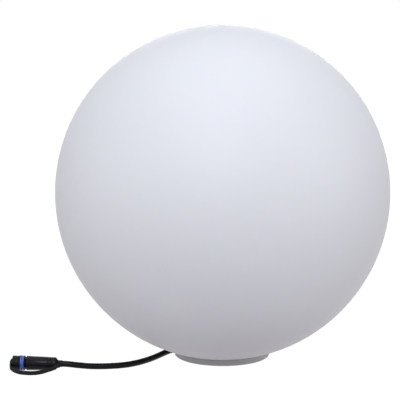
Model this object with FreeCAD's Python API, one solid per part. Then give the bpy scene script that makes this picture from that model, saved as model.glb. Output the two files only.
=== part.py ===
"""Garden globe light: a white plastic ball on a foot ring, with a plug-in low-voltage lead.

Millimetres. The origin is on the ground under the middle of the ball, +Z is up, +X is to the
right and +Y to the back, with the lead coming out at the left.
"""
import FreeCAD, Part
import math
import os

from FreeCAD import Vector

PARTS_FOLDER = "parts"
ORIGIN = Vector(0, 0, 0)
UP = Vector(0, 0, 1)
FULL_TURN = 360.0

# ---------------------------------------------------------------- clearances
FIT = 0.05                   # between a shaft or screw and its own hole
OVERCUT = 1.0                # how far a cutting shape goes past the faces that it cuts
MOVING_GAP = 0.3             # between two pieces that move against each other
RUNNING_FIT = 0.08           # radial, between the coupling ring and the plug's nose

# ---------------------------------------------------------------- globe
GLOBE_RADIUS = 200.0
GLOBE_WALL = 2.2
GLOBE_LOW_POINT = -1.0       # height that the ball's outside would reach if it were whole
LIP_THICKNESS = 3.0
SKIRT_BOTTOM = 7.5           # height at which the ball's outside ends, over the foot's rebate
MOUTH_CLEARANCE = 0.6        # between the hub and the edge of the globe's mouth

# ---------------------------------------------------------------- foot and hub
FOOT_RADIUS = 57.5
FOOT_HEIGHT = 8.8
FOOT_WALL = 2.5
FOOT_EDGE_BEVEL = 0.8
REBATE_WIDTH = 1.8           # step round the foot's top edge, under the globe's skirt
PLATE_THICKNESS = 2.5
HUB_RADIUS = 42.5
HUB_WALL = 2.5
HUB_HEIGHT = 56.0
HUB_CEILING = 3.5
HUB_EDGE_BEVEL = 1.5
RIB_COUNT = 12
RIB_THICKNESS = 1.6
RIB_LIFT = 2.5               # from the ground to the ribs' lower edge
GLAND_HOLE_RADIUS = 12.5
CABLE_SLOT_WIDTH = 10.7
CABLE_SLOT_CLEARANCE = 0.3   # between the lead and the slot's roof
CABLE_SLOT_HEADING = 17.5    # degrees from +X, the way the lead runs in
CABLE_SLOT_CENTRE = Vector(-47.6, 10.4, 0)

# ---------------------------------------------------------------- bayonet lock of the globe
LUG_COUNT = 3
LUG_ANGLE = 24.0
LUG_REACH = 5.5
LUG_THICKNESS = 3.0
LUG_LEAD_IN = 1.0
NOTCH_MARGIN = 2.0           # degrees on each side of a lug
UNLOCK_ANGLE = 40.0
STOP_ANGLE = 4.0
STOP_GAP_ANGLE = 0.5
STOP_HEIGHT = 3.5

# ---------------------------------------------------------------- seal under the globe
SEAL_MARGIN = 2.1            # from the foot's rebate in to the seal
SEAL_WIDTH = 3.2
SEAL_THICKNESS = 1.2
SEAL_GROOVE_DEPTH = 0.7

# ---------------------------------------------------------------- driver housing
HOUSING_RADIUS = 37.5
HOUSING_WALL = 2.5
HOUSING_FLOOR = 3.0
HOUSING_HEIGHT = 28.0
FLANGE_WIDTH = 4.5           # past the housing's wall
FLANGE_THICKNESS = 4.0
HOUSING_SCREW_COUNT = 3
HOUSING_SCREW_INSET = 7.0    # from the housing's bore to the screws
HOUSING_SCREW_FIRST_ANGLE = 90.0
HOUSING_SCREW_RADIUS = 1.5
HOUSING_SCREW_HEAD_RADIUS = 3.2
HOUSING_SCREW_HEAD_HEIGHT = 2.4
HOUSING_SCREW_LENGTH = 10.0
BOSS_RADIUS = 4.2
BOSS_HEIGHT = 8.0
POST_COUNT = 3
POST_INSET = 7.5             # from the housing's bore to the posts
POST_FIRST_ANGLE = 30.0
POST_FOOT_RADIUS = 4.5
POST_NECK_RADIUS = 2.8
BOARD_SEAT_HEIGHT = 9.5      # from the housing's floor up to the driver board

# ---------------------------------------------------------------- cable gland
GLAND_THREAD_RADIUS = 8.0
GLAND_HEX_ACROSS = 20.0
GLAND_HEX_HEIGHT = 5.0
GLAND_GASKET_THICKNESS = 0.8
GLAND_CLAMP_LENGTH = 8.0
LOCKNUT_ACROSS = 22.0
LOCKNUT_HEIGHT = 4.0
GLAND_TOP_LENGTH = 8.0       # thread above the housing's floor underside
GLAND_NUT_HEIGHT = 13.65
GLAND_NUT_DOME_HEIGHT = 4.6
GLAND_NUT_WALL = 1.6
GLAND_SEAL_HEIGHT = 4.5

# ---------------------------------------------------------------- boards and light source
DRIVER_BOARD_MARGIN = 1.5    # from the housing's bore to the board's edge
BOARD_THICKNESS = 1.6
BOARD_HOLE_RADIUS = 6.0
TERMINAL_SIZE = Vector(9.0, 10.0, 8.0)
TERMINAL_PLACE = Vector(12.0, -5.0, 0)
TERMINAL_POLE_PITCH = 4.0
TERMINAL_SCREW_RADIUS = 1.6
TERMINAL_SCREW_LENGTH = 3.0
TERMINAL_ENTRY_DEPTH = 3.0
TERMINAL_ENTRY_HEIGHT = 2.7
CORE_RADIUS = 1.0
CORE_BEND_RADIUS = 3.0
CORE_STUB_LENGTH = 1.0       # of the lead's sheath above the gland
CAPACITOR_RADIUS = 4.0
CAPACITOR_HEIGHT = 10.5
CAPACITOR_PLACES = (Vector(-4, -21, 0), Vector(-15, -17, 0))
CHOKE_PLACE = Vector(2.0, 20.0, 0)
CHOKE_RADIUS = 5.5
CHOKE_WAIST_RADIUS = 3.8
CHOKE_HEIGHT = 8.0
CHOKE_FLANGE = 1.4
CHIP_SIZES_AND_PLACES = (
    (Vector(7.0, 6.0, 2.5), Vector(-20, 5, 0)),
    (Vector(5.0, 4.0, 1.7), Vector(-9, 14, 0)),
    (Vector(6.5, 6.5, 2.3), Vector(8, -20, 0)),
)
LED_PLATE_THICKNESS = 2.0
LED_PLATE_EDGE = 1.2         # ledge of the housing under the plate
LED_BOARD_MARGIN = 3.0       # from the housing's bore to the board's edge
LED_COUNT = 12
LED_INSET = 11.0             # from the board's edge to the LEDs
LED_SIZE = Vector(3.5, 2.8, 0.8)
LED_SCREW_RADIUS = 1.25
LED_SCREW_HEAD_RADIUS = 2.4
LED_SCREW_HEAD_HEIGHT = 1.8
LED_SCREW_LENGTH = 9.0
LED_WIRE_RADIUS = 0.6
LED_WIRE_BEND_RADIUS = 0.9
LED_WIRE_CIRCLE = 12.0
LED_WIRE_PITCH = 3.0
LED_WIRE_HOLE_RADIUS = 1.0
LED_WIRE_PAD_LENGTH = 4.0

# ---------------------------------------------------------------- cover over the light source
COVER_SEAL_THICKNESS = 1.0
COVER_SEAL_MARGIN = 0.6
COVER_FLANGE_THICKNESS = 2.5
COVER_WALL = 2.0
COVER_INSET = 1.1            # from the housing's wall in to the cover's
COVER_HEIGHT = 22.0
COVER_EDGE_BEVEL = 6.0
COVER_SCREW_COUNT = 6
COVER_SCREW_INSET = 2.6      # from the flange's edge to the screws
COVER_SCREW_RADIUS = 1.1
COVER_SCREW_HEAD_RADIUS = 2.0
COVER_SCREW_HEAD_HEIGHT = 1.6
COVER_SCREW_DEPTH = 3.0      # into the housing's flange

# ---------------------------------------------------------------- lead
CABLE_DIAMETER = 7.2
CABLE_RADIUS = CABLE_DIAMETER / 2
CABLE_DROP = 10.5            # straight down out of the gland
PLUG_PLACE = Vector(-191.5, -80.3, 0)   # of the plug's cable end, in plan
PLUG_HEADING = 176.5         # degrees from +X, the way the plug points
ARC_SHARE = 0.45             # of the shorter run, taken by the arc at each point of the route
CABLE_ROUTE = (              # from below the gland, through the slot and over the ground
    (-4.2, 1.9, 14.4),
    (-13.2, 5.9, 6.2),
    (-26.2, 11.3, CABLE_RADIUS + 0.2),
    (-39.2, 13.4, CABLE_RADIUS),
    (-52.0, 10.5, CABLE_RADIUS),
    (-62.6, 3.0, CABLE_RADIUS),
    (-70.0, -9.8, CABLE_RADIUS),
    (-77.5, -24.5, CABLE_RADIUS),
    (-87.0, -40.3, CABLE_RADIUS),
    (-99.5, -55.6, CABLE_RADIUS),
    (-114.5, -66.8, CABLE_RADIUS),
    (-134.0, -72.0, CABLE_RADIUS),
    (-153.5, -75.1, CABLE_RADIUS + 0.6),
    (-170.0, -79.4, 6.9),
)
PLUG_RUN = 9.5               # last run of the route, in line with the plug

# ---------------------------------------------------------------- plug, measured from its cable end
PLUG_RADIUS = 8.5
PLUG_CABLE_END_RADIUS = 4.2
PLUG_CONE_LENGTH = 2.8
PLUG_BACK_RADIUS = 7.6
PLUG_LENGTH = 36.7
PLUG_FRONT_BEVEL = 0.8
GRIP_GROOVES = (7.9, 11.6)
GRIP_GROOVE_WIDTH = 1.1
GRIP_GROOVE_DEPTH = 0.5
NOSE_RADIUS = 5.0
NOSE_BORE_RADIUS = 4.0
NOSE_LENGTH = 14.3
BEAD_GAP = 0.4               # between the coupling ring's flange and the bead that holds it
BEAD_WIDTH = 0.8
BEAD_HEIGHT = 0.6
INSERT_DEPTH = 3.7           # of the contact carrier into the plug's body
INSERT_LENGTH = 10.5
PIN_RADIUS = 0.9
PIN_PITCH = 4.0
PIN_DEPTH = 1.7              # of the pins into the plug's body
PIN_SETBACK = 2.2            # of the pins' tips behind the nose's end
NOSE_SEAL_SETBACK = 3.2      # from the nose's end to the seal's far side
NOSE_SEAL_WIDTH = 1.4
NOSE_SEAL_DEPTH = 0.5
NOSE_SEAL_PROUD = 0.3

# ---------------------------------------------------------------- coupling ring
NECK_LENGTH = 1.3            # between the plug's body and the ring
RING_LENGTH = 7.6
RING_FLANGE = 1.6
RING_BACK_RADIUS = 7.2
RING_RADIUS = 8.8
RING_CAVITY_RADIUS = 6.3
RING_GROOVE_WIDTH = 1.2
RING_GROOVE_DEPTH = 0.35
RING_SLOT_COUNT = 2
RING_SLOT_WIDTH = 2.0
RING_SLOT_DEPTH = 2.2

# ---------------------------------------------------------------- dust cap with its strap
CAP_RADIUS = 8.5
CAP_LENGTH = 7.4
CAP_END_WALL = 1.6
CAP_EDGE_BEVEL = 0.8
CAP_BORE_CLEARANCE = 0.2     # to the ring seal on the plug's nose
STUB_RADIUS = 2.2
STUB_LENGTH = 2.6
STUB_HEAD_RADIUS = 3.2
STUB_HEAD_LENGTH = 0.9
STRAP_EYE_RADIUS = 4.8
STRAP_EYE_THICKNESS = 2.0
STRAP_WIDTH = 4.8
STRAP_THICKNESS = 1.6
COLLAR_RADIUS = 4.3
COLLAR_LENGTH = 5.0
STRAP_COLLAR_GAP = 0.15
STRAP_COLLAR_LEAD_IN = 1.2   # how much wider that gap is at the collar's plug end
STRAP_COLLAR_DROP = 1.2      # from the lead's middle down to the strap's
STRAP_ROUTE_MIDDLE = (
    (-246.8, -86.4, 6.6),
    (-243.2, -90.8, 4.2),
    (-236.2, -95.4, 2.7),
    (-227.8, -98.6, 2.45),
    (-218.6, -99.2, 2.45),
    (-209.8, -96.8, 2.6),
    (-202.6, -93.0, 3.6),
    (-195.8, -90.0, 5.9),
)


# ================================================================ shapes
def rounded_wire(points, radii):
    """Straight runs joined by tangent arcs; radii has one value for each inner point."""
    edges = []
    run_start = points[0]
    for before, corner, after, radius in zip(points, points[1:], points[2:], radii):
        incoming = (corner - before).normalize()
        outgoing = (after - corner).normalize()
        trim = radius * math.tan(incoming.getAngle(outgoing) / 2)
        arc_start = corner - incoming * trim
        arc_end = corner + outgoing * trim
        inward = (outgoing - incoming).normalize()
        arc_middle = corner + inward * (math.hypot(radius, trim) - radius)
        edges.append(Part.LineSegment(run_start, arc_start).toShape())
        edges.append(Part.Arc(arc_start, arc_middle, arc_end).toShape())
        run_start = arc_end
    edges.append(Part.LineSegment(run_start, points[-1]).toShape())
    return Part.Wire(edges)


def lathe(outline, angle=FULL_TURN, start=0.0):
    """Turn an outline of (radius, height) or (radius, height, bevel) about the Z axis."""
    corners = [Vector(corner[0], 0, corner[1]) for corner in outline]
    points = []
    for index, corner in enumerate(outline):
        here = corners[index]
        if len(corner) == 2:
            points.append(here)
            continue
        for neighbour in (corners[index - 1], corners[(index + 1) % len(corners)]):
            points.append(here + (neighbour - here).normalize() * corner[2])
    face = Part.Face(Part.makePolygon(points + points[:1]))
    solid = face.revolve(ORIGIN, UP, angle)
    solid.rotate(ORIGIN, UP, start)
    return solid


def ring(inner, outer, bottom, top, angle=FULL_TURN, start=0.0):
    """A plain ring, or a sector of one."""
    return lathe(((inner, bottom), (outer, bottom), (outer, top), (inner, top)), angle, start)


def disc(radius, bottom, top, centre=ORIGIN):
    """An upright cylinder between two heights."""
    return Part.makeCylinder(radius, top - bottom, Vector(centre.x, centre.y, bottom))


def hexagon(across, bottom, top):
    """A hexagonal prism, by its size across the flats."""
    corner_radius = across / math.sqrt(3)
    corners = [polar(corner_radius, 60.0 * step, bottom) for step in range(7)]
    return Part.Face(Part.makePolygon(corners)).extrude(Vector(0, 0, top - bottom))


def block(size, place):
    """A box centred on its place in plan, standing on the place's height."""
    return Part.makeBox(size.x, size.y, size.z, place - Vector(size.x / 2, size.y / 2, 0))


def polar(radius, angle, height=0.0):
    """A point by its distance from the Z axis and its angle from +X in degrees."""
    turn = math.radians(angle)
    return Vector(radius * math.cos(turn), radius * math.sin(turn), height)


def round_pattern(count, start=0.0):
    """The angles of a ring of equal steps."""
    return [start + FULL_TURN * step / count for step in range(count)]


def turned(shape, angle):
    """A copy of the shape, turned about the Z axis."""
    copy = shape.copy()
    copy.rotate(ORIGIN, UP, angle)
    return copy


def merged(shapes):
    """One solid out of shapes that touch."""
    return shapes[0].multiFuse(shapes[1:]).removeSplitter()


def tube_along(wire, radius):
    """A solid round bar along a wire."""
    start = wire.Vertexes[0].Point
    tangent = wire.Edges[0].tangentAt(wire.Edges[0].FirstParameter)
    section = Part.Wire(Part.makeCircle(radius, start, tangent))
    return wire.makePipeShell([section], True, False)


def pan_screw(place, seat, shank_end, shank_radius, head_radius, head_height):
    """A screw whose head sits on the seat height and whose shank runs to shank_end."""
    away = math.copysign(1.0, seat - shank_end)
    head_end = seat + away * head_height
    head = disc(head_radius, min(seat, head_end), max(seat, head_end), place)
    shank = disc(shank_radius, min(seat, shank_end), max(seat, shank_end), place)
    return merged([head, shank])


# ================================================================ sizes that follow
GLOBE_CENTRE_HEIGHT = GLOBE_LOW_POINT + GLOBE_RADIUS
LIP_BOTTOM = FOOT_HEIGHT - SEAL_GROOVE_DEPTH + SEAL_THICKNESS + MOVING_GAP
LIP_TOP = LIP_BOTTOM + LIP_THICKNESS
MOUTH_RADIUS = HUB_RADIUS + MOUTH_CLEARANCE
REBATE_RADIUS = FOOT_RADIUS - REBATE_WIDTH
REBATE_TOP = SKIRT_BOTTOM - MOVING_GAP
SKIRT_INNER_RADIUS = REBATE_RADIUS + MOVING_GAP
SEAL_RADIUS = REBATE_RADIUS - SEAL_MARGIN
SEAL_INNER_RADIUS = SEAL_RADIUS - SEAL_WIDTH
CABLE_SLOT_HEIGHT = CABLE_DIAMETER + CABLE_SLOT_CLEARANCE

LUG_BOTTOM = LIP_TOP + MOVING_GAP
LUG_TOP = LUG_BOTTOM + LUG_THICKNESS
LUG_RADIUS = HUB_RADIUS + LUG_REACH
NOTCH_RADIUS = LUG_RADIUS + MOUTH_CLEARANCE
NOTCH_ANGLE = LUG_ANGLE + 2 * NOTCH_MARGIN

HOUSING_BOTTOM = HUB_HEIGHT
HOUSING_INSIDE = HOUSING_BOTTOM + HOUSING_FLOOR
HOUSING_TOP = HOUSING_BOTTOM + HOUSING_HEIGHT
HOUSING_BORE_RADIUS = HOUSING_RADIUS - HOUSING_WALL
HOUSING_SCREW_CIRCLE = HOUSING_BORE_RADIUS - HOUSING_SCREW_INSET
POST_CIRCLE = HOUSING_BORE_RADIUS - POST_INSET
FLANGE_RADIUS = HOUSING_RADIUS + FLANGE_WIDTH
PLATE_RADIUS = HOUSING_BORE_RADIUS + LED_PLATE_EDGE
PLATE_BOTTOM = HOUSING_TOP - LED_PLATE_THICKNESS
LED_BOARD_TOP = HOUSING_TOP + BOARD_THICKNESS
LED_BOARD_RADIUS = HOUSING_BORE_RADIUS - LED_BOARD_MARGIN
LED_CIRCLE = LED_BOARD_RADIUS - LED_INSET

GLAND_HEX_BOTTOM = HOUSING_BOTTOM - GLAND_GASKET_THICKNESS - GLAND_HEX_HEIGHT
GLAND_CLAMP_BOTTOM = GLAND_HEX_BOTTOM - GLAND_CLAMP_LENGTH
GLAND_TOP = HOUSING_BOTTOM + GLAND_TOP_LENGTH
GLAND_NUT_TOP = GLAND_HEX_BOTTOM - FIT
GLAND_EXIT_HEIGHT = GLAND_NUT_TOP - GLAND_NUT_HEIGHT
CABLE_TAIL_TOP = GLAND_TOP + CORE_STUB_LENGTH
GLAND_BORE_RADIUS = CABLE_RADIUS + FIT
GLAND_NUT_BORE_RADIUS = GLAND_THREAD_RADIUS + FIT

DRIVER_BOARD_BOTTOM = HOUSING_INSIDE + BOARD_SEAT_HEIGHT
DRIVER_BOARD_TOP = DRIVER_BOARD_BOTTOM + BOARD_THICKNESS
DRIVER_BOARD_RADIUS = HOUSING_BORE_RADIUS - DRIVER_BOARD_MARGIN

COVER_SEAL_TOP = HOUSING_TOP + COVER_SEAL_THICKNESS
COVER_FLANGE_TOP = COVER_SEAL_TOP + COVER_FLANGE_THICKNESS
COVER_TOP = COVER_FLANGE_TOP + COVER_HEIGHT
COVER_RADIUS = HOUSING_RADIUS - COVER_INSET
COVER_SCREW_CIRCLE = FLANGE_RADIUS - COVER_SCREW_INSET

PLUG_END = PLUG_PLACE + UP * RING_RADIUS     # the plug lies on its ring, the thickest part
NOSE_END = PLUG_LENGTH + NOSE_LENGTH
INSERT_START = PLUG_LENGTH - INSERT_DEPTH
INSERT_END = INSERT_START + INSERT_LENGTH
PIN_START = PLUG_LENGTH - PIN_DEPTH
PIN_END = NOSE_END - PIN_SETBACK
NOSE_SEAL_START = NOSE_END - NOSE_SEAL_SETBACK
NOSE_SEAL_END = NOSE_SEAL_START + NOSE_SEAL_WIDTH
NOSE_SEAL_FLOOR = NOSE_RADIUS - NOSE_SEAL_DEPTH
NOSE_SEAL_RADIUS = NOSE_RADIUS + NOSE_SEAL_PROUD
RING_START = PLUG_LENGTH + NECK_LENGTH
RING_FLANGE_END = RING_START + RING_FLANGE
RING_END = RING_START + RING_LENGTH
BEAD_START = RING_FLANGE_END + BEAD_GAP
CAP_START = RING_END + MOVING_GAP
CAP_END = CAP_START + CAP_LENGTH
CAP_BORE_RADIUS = NOSE_SEAL_RADIUS + CAP_BORE_CLEARANCE


# ================================================================ globe and its seal
def globe():
    """The ball: a thin shell with a skirt, a lip, a mouth, bayonet notches and stops inside."""
    inner_radius = GLOBE_RADIUS - GLOBE_WALL
    shell = ball_above(SKIRT_BOTTOM, GLOBE_RADIUS).cut(ball_above(LIP_TOP, inner_radius))
    shell = shell.cut(disc(SKIRT_INNER_RADIUS, SKIRT_BOTTOM - OVERCUT, LIP_BOTTOM))
    shell = shell.cut(disc(MOUTH_RADIUS, LIP_BOTTOM - OVERCUT, LIP_TOP + OVERCUT))
    first_notch = -UNLOCK_ANGLE - NOTCH_ANGLE / 2
    stops = []
    for lug in round_pattern(LUG_COUNT):
        notch = ring(MOUTH_RADIUS - OVERCUT, NOTCH_RADIUS, LIP_BOTTOM - OVERCUT,
                     LIP_TOP + OVERCUT, NOTCH_ANGLE, lug + first_notch)
        shell = shell.cut(notch)
        locked_stop = lug + LUG_ANGLE / 2 + STOP_GAP_ANGLE
        open_stop = lug + first_notch - STOP_ANGLE
        for start in (locked_stop, open_stop):
            stops.append(ring(MOUTH_RADIUS, NOTCH_RADIUS, LIP_TOP, LIP_TOP + STOP_HEIGHT,
                              STOP_ANGLE, start))
    return merged([shell] + stops)


def ball_above(height, radius):
    """A solid ball about the globe's centre, cut off flat at a height."""
    latitude = math.degrees(math.asin((height - GLOBE_CENTRE_HEIGHT) / radius))
    return Part.makeSphere(radius, Vector(0, 0, GLOBE_CENTRE_HEIGHT), UP, latitude, 90, FULL_TURN)


def globe_seal():
    """The flat rubber ring in the foot's groove, under the globe's lip."""
    bottom = FOOT_HEIGHT - SEAL_GROOVE_DEPTH
    return ring(SEAL_INNER_RADIUS, SEAL_RADIUS, bottom, bottom + SEAL_THICKNESS)


# ================================================================ foot and hub, one moulding
def base():
    """The foot ring, its plate with ribs, and the hub with its three bayonet lugs."""
    hub_bore = HUB_RADIUS - HUB_WALL
    plate_bottom = FOOT_HEIGHT - PLATE_THICKNESS
    body = lathe((
        (FOOT_RADIUS - FOOT_WALL, 0),
        (FOOT_RADIUS, 0, FOOT_EDGE_BEVEL),
        (FOOT_RADIUS, REBATE_TOP, FOOT_EDGE_BEVEL / 2),
        (REBATE_RADIUS, REBATE_TOP),
        (REBATE_RADIUS, FOOT_HEIGHT),
        (HUB_RADIUS, FOOT_HEIGHT),
        (HUB_RADIUS, HUB_HEIGHT, HUB_EDGE_BEVEL),
        (0, HUB_HEIGHT),
        (0, HUB_HEIGHT - HUB_CEILING),
        (hub_bore, HUB_HEIGHT - HUB_CEILING),
        (hub_bore, plate_bottom),
        (FOOT_RADIUS - FOOT_WALL, plate_bottom),
    ))
    additions = [body]
    rib_length = FOOT_RADIUS - FOOT_WALL / 2 - hub_bore
    rib_top = (plate_bottom + REBATE_TOP) / 2
    for angle in round_pattern(RIB_COUNT):
        rib = Part.makeBox(rib_length, RIB_THICKNESS, rib_top - RIB_LIFT,
                           Vector(hub_bore, -RIB_THICKNESS / 2, RIB_LIFT))
        additions.append(turned(rib, angle))
    for angle in round_pattern(LUG_COUNT):
        additions.append(lug(angle))
    body = merged(additions)
    body = body.cut(ring(SEAL_INNER_RADIUS, SEAL_RADIUS, FOOT_HEIGHT - SEAL_GROOVE_DEPTH,
                         FOOT_HEIGHT + OVERCUT))
    ceiling = HUB_HEIGHT - HUB_CEILING
    body = body.cut(disc(GLAND_HOLE_RADIUS, ceiling - OVERCUT, HUB_HEIGHT + OVERCUT))
    for angle in round_pattern(HOUSING_SCREW_COUNT, HOUSING_SCREW_FIRST_ANGLE):
        place = polar(HOUSING_SCREW_CIRCLE, angle)
        body = body.cut(disc(HOUSING_SCREW_RADIUS + FIT, ceiling - OVERCUT,
                             HUB_HEIGHT + OVERCUT, place))
    return body.cut(cable_slot())


def lug(angle):
    """One bayonet lug on the hub, with a slanted lower edge at its tip."""
    root = HUB_RADIUS - HUB_WALL / 2
    outline = (
        (root, LUG_BOTTOM),
        (LUG_RADIUS - LUG_LEAD_IN, LUG_BOTTOM),
        (LUG_RADIUS, LUG_BOTTOM + LUG_LEAD_IN),
        (LUG_RADIUS, LUG_TOP),
        (root, LUG_TOP),
    )
    return lathe(outline, LUG_ANGLE, angle - LUG_ANGLE / 2)


def cable_slot():
    """The slot under the foot's plate through which the lead comes out."""
    length = 2 * (FOOT_RADIUS - HUB_RADIUS + HUB_WALL)
    slot = Part.makeBox(length, CABLE_SLOT_WIDTH, CABLE_SLOT_HEIGHT + OVERCUT,
                        Vector(-length / 2, -CABLE_SLOT_WIDTH / 2, -OVERCUT))
    slot = turned(slot, CABLE_SLOT_HEADING)
    slot.translate(CABLE_SLOT_CENTRE)
    return slot


# ================================================================ driver housing
def driver_housing():
    """The sealed cup on the hub, with screw bosses, stepped posts and a flange for the cover."""
    body = lathe((
        (0, HOUSING_BOTTOM),
        (HOUSING_RADIUS, HOUSING_BOTTOM),
        (HOUSING_RADIUS, HOUSING_TOP - FLANGE_THICKNESS),
        (FLANGE_RADIUS, HOUSING_TOP - FLANGE_THICKNESS),
        (FLANGE_RADIUS, HOUSING_TOP),
        (PLATE_RADIUS + FIT, HOUSING_TOP),
        (PLATE_RADIUS + FIT, PLATE_BOTTOM),
        (HOUSING_BORE_RADIUS, PLATE_BOTTOM),
        (HOUSING_BORE_RADIUS, HOUSING_INSIDE),
        (0, HOUSING_INSIDE),
    ))
    additions = [body]
    for angle in round_pattern(HOUSING_SCREW_COUNT, HOUSING_SCREW_FIRST_ANGLE):
        additions.append(disc(BOSS_RADIUS, HOUSING_BOTTOM, HOUSING_INSIDE + BOSS_HEIGHT,
                              polar(HOUSING_SCREW_CIRCLE, angle)))
    for angle in round_pattern(POST_COUNT, POST_FIRST_ANGLE):
        place = polar(POST_CIRCLE, angle)
        additions.append(disc(POST_FOOT_RADIUS, HOUSING_BOTTOM, DRIVER_BOARD_BOTTOM, place))
        additions.append(disc(POST_NECK_RADIUS, HOUSING_BOTTOM, PLATE_BOTTOM, place))
    body = merged(additions)
    body = body.cut(disc(GLAND_THREAD_RADIUS + FIT, HOUSING_BOTTOM - OVERCUT,
                         HOUSING_INSIDE + OVERCUT))
    for screw in housing_screw_holes() + led_screw_holes() + cover_screw_holes():
        body = body.cut(screw)
    return body


def housing_screw_holes():
    """The blind holes for the screws that come up out of the hub."""
    top = HOUSING_BOTTOM - HUB_CEILING + HOUSING_SCREW_LENGTH + FIT
    return [disc(HOUSING_SCREW_RADIUS + FIT, HOUSING_BOTTOM - OVERCUT, top,
                 polar(HOUSING_SCREW_CIRCLE, angle))
            for angle in round_pattern(HOUSING_SCREW_COUNT, HOUSING_SCREW_FIRST_ANGLE)]


def led_screw_holes():
    """The blind holes down the posts."""
    bottom = LED_BOARD_TOP - LED_SCREW_LENGTH - FIT
    return [disc(LED_SCREW_RADIUS + FIT, bottom, LED_BOARD_TOP + OVERCUT,
                 polar(POST_CIRCLE, angle))
            for angle in round_pattern(POST_COUNT, POST_FIRST_ANGLE)]


def cover_screw_holes():
    """The holes round the flange, through seal and cover down into the housing."""
    bottom = HOUSING_TOP - COVER_SCREW_DEPTH - FIT
    return [disc(COVER_SCREW_RADIUS + FIT, bottom, COVER_FLANGE_TOP + OVERCUT,
                 polar(COVER_SCREW_CIRCLE, angle))
            for angle in round_pattern(COVER_SCREW_COUNT)]


def housing_screws():
    """The screws through the hub's ceiling, heads in the recess."""
    seat = HUB_HEIGHT - HUB_CEILING
    return [pan_screw(polar(HOUSING_SCREW_CIRCLE, angle), seat, seat + HOUSING_SCREW_LENGTH,
                      HOUSING_SCREW_RADIUS, HOUSING_SCREW_HEAD_RADIUS, HOUSING_SCREW_HEAD_HEIGHT)
            for angle in round_pattern(HOUSING_SCREW_COUNT, HOUSING_SCREW_FIRST_ANGLE)]


# ================================================================ cable gland
def gland_body():
    """The gland: a hexagon with a thread up through the housing and one down for the nut."""
    body = merged([
        disc(GLAND_THREAD_RADIUS, GLAND_CLAMP_BOTTOM, GLAND_TOP),
        hexagon(GLAND_HEX_ACROSS, GLAND_HEX_BOTTOM, GLAND_HEX_BOTTOM + GLAND_HEX_HEIGHT),
    ])
    return body.cut(disc(GLAND_BORE_RADIUS, GLAND_CLAMP_BOTTOM - OVERCUT, GLAND_TOP + OVERCUT))


def gland_gasket():
    """The flat ring between the gland's hexagon and the housing."""
    return ring(GLAND_THREAD_RADIUS + FIT, GLAND_HEX_ACROSS / 2,
                HOUSING_BOTTOM - GLAND_GASKET_THICKNESS, HOUSING_BOTTOM)


def gland_locknut():
    """The nut on the gland inside the housing."""
    top = HOUSING_INSIDE + LOCKNUT_HEIGHT
    nut = hexagon(LOCKNUT_ACROSS, HOUSING_INSIDE, top)
    return nut.cut(disc(GLAND_THREAD_RADIUS + FIT, HOUSING_INSIDE - OVERCUT, top + OVERCUT))


def gland_seal():
    """The rubber bush that the nut squeezes round the lead."""
    return ring(GLAND_BORE_RADIUS, GLAND_THREAD_RADIUS - FIT,
                GLAND_CLAMP_BOTTOM - GLAND_SEAL_HEIGHT, GLAND_CLAMP_BOTTOM)


def gland_nut():
    """The dome nut: a hexagon that narrows to a round mouth for the lead."""
    bottom = GLAND_EXIT_HEIGHT
    corner_radius = GLAND_HEX_ACROSS / math.sqrt(3)
    dome = lathe((
        (0, bottom),
        (GLAND_THREAD_RADIUS, bottom, GLAND_NUT_WALL),
        (corner_radius, bottom + GLAND_NUT_DOME_HEIGHT),
        (corner_radius, GLAND_NUT_TOP),
        (0, GLAND_NUT_TOP),
    ))
    nut = dome.common(hexagon(GLAND_HEX_ACROSS, bottom - OVERCUT, GLAND_NUT_TOP + OVERCUT))
    seal_bottom = GLAND_CLAMP_BOTTOM - GLAND_SEAL_HEIGHT
    nut = nut.cut(disc(GLAND_NUT_BORE_RADIUS, seal_bottom, GLAND_NUT_TOP + OVERCUT))
    return nut.cut(disc(GLAND_BORE_RADIUS, bottom - OVERCUT, GLAND_NUT_TOP + OVERCUT))


def cable_tail():
    """The sheathed end of the lead, held in the gland."""
    return disc(CABLE_RADIUS, GLAND_EXIT_HEIGHT, CABLE_TAIL_TOP)


# ================================================================ driver board
def driver_board():
    """The round board that drops over the posts onto their steps."""
    board = disc(DRIVER_BOARD_RADIUS, DRIVER_BOARD_BOTTOM, DRIVER_BOARD_TOP)
    holes = [disc(BOARD_HOLE_RADIUS, DRIVER_BOARD_BOTTOM - OVERCUT, DRIVER_BOARD_TOP + OVERCUT)]
    for angle in round_pattern(POST_COUNT, POST_FIRST_ANGLE):
        holes.append(disc(POST_NECK_RADIUS + FIT, DRIVER_BOARD_BOTTOM - OVERCUT,
                          DRIVER_BOARD_TOP + OVERCUT, polar(POST_CIRCLE, angle)))
    return board.cut(holes)


def on_driver_board(place):
    """A place in plan, lifted to the top of the driver board."""
    return Vector(place.x, place.y, DRIVER_BOARD_TOP)


def pole_sides():
    """The two poles' places across the terminal block."""
    return (-TERMINAL_POLE_PITCH / 2, TERMINAL_POLE_PITCH / 2)


def terminal_centre_x():
    """The middle of the terminal block along X."""
    return TERMINAL_PLACE.x + TERMINAL_SIZE.x / 2


def core_height():
    """The height at which the cores go into the terminal block."""
    return DRIVER_BOARD_TOP + TERMINAL_ENTRY_HEIGHT


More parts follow.
